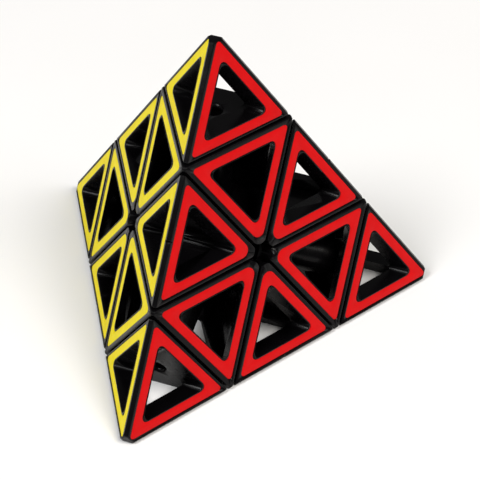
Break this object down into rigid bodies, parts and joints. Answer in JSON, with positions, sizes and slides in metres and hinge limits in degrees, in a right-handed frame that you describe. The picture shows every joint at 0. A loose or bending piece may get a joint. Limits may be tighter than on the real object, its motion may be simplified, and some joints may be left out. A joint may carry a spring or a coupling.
{
  "type": "pyramid twisty puzzle",
  "caption": "Hollow tetrahedral twisty puzzle with turning layers, turning corner tips, windowed black pieces and ring-shaped coloured stickers on every face.",
  "frame": {"origin": "the point where the four turning axes meet, which is the centre of the pyramid", "axes": "+Z points at the top corner, -Y is the way the front (red) face looks, and +X runs from the left base corner to the right one"},
  "size_m": [0.0974, 0.0851, 0.0796],
  "materials": {
    "black_plastic": "gloss",
    "core_plastic": "satin",
    "screw_steel": "satin",
    "spring_steel": "satin",
    "red_sticker": "satin",
    "yellow_sticker": "satin",
    "green_sticker": "satin",
    "blue_sticker": "satin"
  },
  "bodies": {
    "core": {"core_spider": "core_plastic", "axle_screws": "screw_steel", "axle_springs": "spring_steel", "axle_washers": "screw_steel"},
    "layer_top": {"centre_top": "black_plastic", "sticker_red_centre_top": "red_sticker", "sticker_yellow_centre_top": "yellow_sticker", "sticker_green_centre_top": "green_sticker"},
    "layer_left": {"centre_left": "black_plastic", "sticker_red_centre_left": "red_sticker", "sticker_yellow_centre_left": "yellow_sticker", "sticker_blue_centre_left": "blue_sticker"},
    "layer_right": {"centre_right": "black_plastic", "sticker_red_centre_right": "red_sticker", "sticker_green_centre_right": "green_sticker", "sticker_blue_centre_right": "blue_sticker"},
    "layer_back": {"centre_back": "black_plastic", "sticker_yellow_centre_back": "yellow_sticker", "sticker_green_centre_back": "green_sticker", "sticker_blue_centre_back": "blue_sticker"},
    "tip_top": {"tip_shell_top": "black_plastic", "tip_plug_top": "black_plastic", "sticker_red_tip_top": "red_sticker", "sticker_yellow_tip_top": "yellow_sticker", "sticker_green_tip_top": "green_sticker"},
    "tip_left": {"tip_shell_left": "black_plastic", "tip_plug_left": "black_plastic", "sticker_red_tip_left": "red_sticker", "sticker_yellow_tip_left": "yellow_sticker", "sticker_blue_tip_left": "blue_sticker"},
    "tip_right": {"tip_shell_right": "black_plastic", "tip_plug_right": "black_plastic", "sticker_red_tip_right": "red_sticker", "sticker_green_tip_right": "green_sticker", "sticker_blue_tip_right": "blue_sticker"},
    "tip_back": {"tip_shell_back": "black_plastic", "tip_plug_back": "black_plastic", "sticker_yellow_tip_back": "yellow_sticker", "sticker_green_tip_back": "green_sticker", "sticker_blue_tip_back": "blue_sticker"},
    "edge_top_left": {"edge_top_left": "black_plastic", "sticker_red_edge_top_left": "red_sticker", "sticker_yellow_edge_top_left": "yellow_sticker"},
    "edge_top_right": {"edge_top_right": "black_plastic", "sticker_red_edge_top_right": "red_sticker", "sticker_green_edge_top_right": "green_sticker"},
    "edge_top_back": {"edge_top_back": "black_plastic", "sticker_yellow_edge_top_back": "yellow_sticker", "sticker_green_edge_top_back": "green_sticker"},
    "edge_left_right": {"edge_left_right": "black_plastic", "sticker_red_edge_left_right": "red_sticker", "sticker_blue_edge_left_right": "blue_sticker"},
    "edge_right_back": {"edge_right_back": "black_plastic", "sticker_green_edge_right_back": "green_sticker", "sticker_blue_edge_right_back": "blue_sticker"},
    "edge_back_left": {"edge_back_left": "black_plastic", "sticker_yellow_edge_back_left": "yellow_sticker", "sticker_blue_edge_back_left": "blue_sticker"}
  },
  "joints": [
    {"name": "turn_top", "type": "hinge", "parent": "core", "child": "layer_top", "pos_m": [0, 0, 0], "axis": [0, 0, 1], "continuous": true},
    {"name": "turn_left", "type": "hinge", "parent": "core", "child": "layer_left", "pos_m": [0, 0, 0], "axis": [-0.8165, -0.4714, -0.3333], "range_deg": [-360, 360]},
    {"name": "turn_right", "type": "hinge", "parent": "core", "child": "layer_right", "pos_m": [0, 0, 0], "axis": [0.8165, -0.4714, -0.3333], "range_deg": [-360, 360]},
    {"name": "turn_back", "type": "hinge", "parent": "core", "child": "layer_back", "pos_m": [0, 0, 0], "axis": [0, 0.9428, -0.3333], "range_deg": [-360, 360]},
    {"name": "twist_tip_top", "type": "hinge", "parent": "layer_top", "child": "tip_top", "pos_m": [0, 0, 0], "axis": [0, 0, 1], "continuous": true},
    {"name": "twist_tip_left", "type": "hinge", "parent": "layer_left", "child": "tip_left", "pos_m": [0, 0, 0], "axis": [-0.8165, -0.4714, -0.3333], "continuous": true},
    {"name": "twist_tip_right", "type": "hinge", "parent": "layer_right", "child": "tip_right", "pos_m": [0, 0, 0], "axis": [0.8165, -0.4714, -0.3333], "continuous": true},
    {"name": "twist_tip_back", "type": "hinge", "parent": "layer_back", "child": "tip_back", "pos_m": [0, 0, 0], "axis": [0, 0.9428, -0.3333], "continuous": true},
    {"name": "edge_top_left_with_left", "type": "hinge", "parent": "layer_top", "child": "edge_top_left", "pos_m": [0, 0, 0], "axis": [-0.8165, -0.4714, -0.3333], "range_deg": [-360, 360]},
    {"name": "edge_top_right_with_right", "type": "hinge", "parent": "layer_top", "child": "edge_top_right", "pos_m": [0, 0, 0], "axis": [0.8165, -0.4714, -0.3333], "range_deg": [-360, 360]},
    {"name": "edge_top_back_with_back", "type": "hinge", "parent": "layer_top", "child": "edge_top_back", "pos_m": [0, 0, 0], "axis": [0, 0.9428, -0.3333], "range_deg": [-360, 360]},
    {"name": "edge_left_right_with_right", "type": "hinge", "parent": "layer_left", "child": "edge_left_right", "pos_m": [0, 0, 0], "axis": [0.8165, -0.4714, -0.3333], "range_deg": [-360, 360]},
    {"name": "edge_right_back_with_back", "type": "hinge", "parent": "layer_right", "child": "edge_right_back", "pos_m": [0, 0, 0], "axis": [0, 0.9428, -0.3333], "range_deg": [-360, 360]},
    {"name": "edge_back_left_with_left", "type": "hinge", "parent": "layer_back", "child": "edge_back_left", "pos_m": [0, 0, 0], "axis": [-0.8165, -0.4714, -0.3333], "range_deg": [-360, 360]}
  ],
  "couplings": [
    {"joint": "edge_top_left_with_left", "follows": "turn_left", "ratio": 1},
    {"joint": "edge_top_right_with_right", "follows": "turn_right", "ratio": 1},
    {"joint": "edge_top_back_with_back", "follows": "turn_back", "ratio": 1},
    {"joint": "edge_left_right_with_right", "follows": "turn_right", "ratio": 1},
    {"joint": "edge_right_back_with_back", "follows": "turn_back", "ratio": 1},
    {"joint": "edge_back_left_with_left", "follows": "turn_left", "ratio": 1}
  ]
}
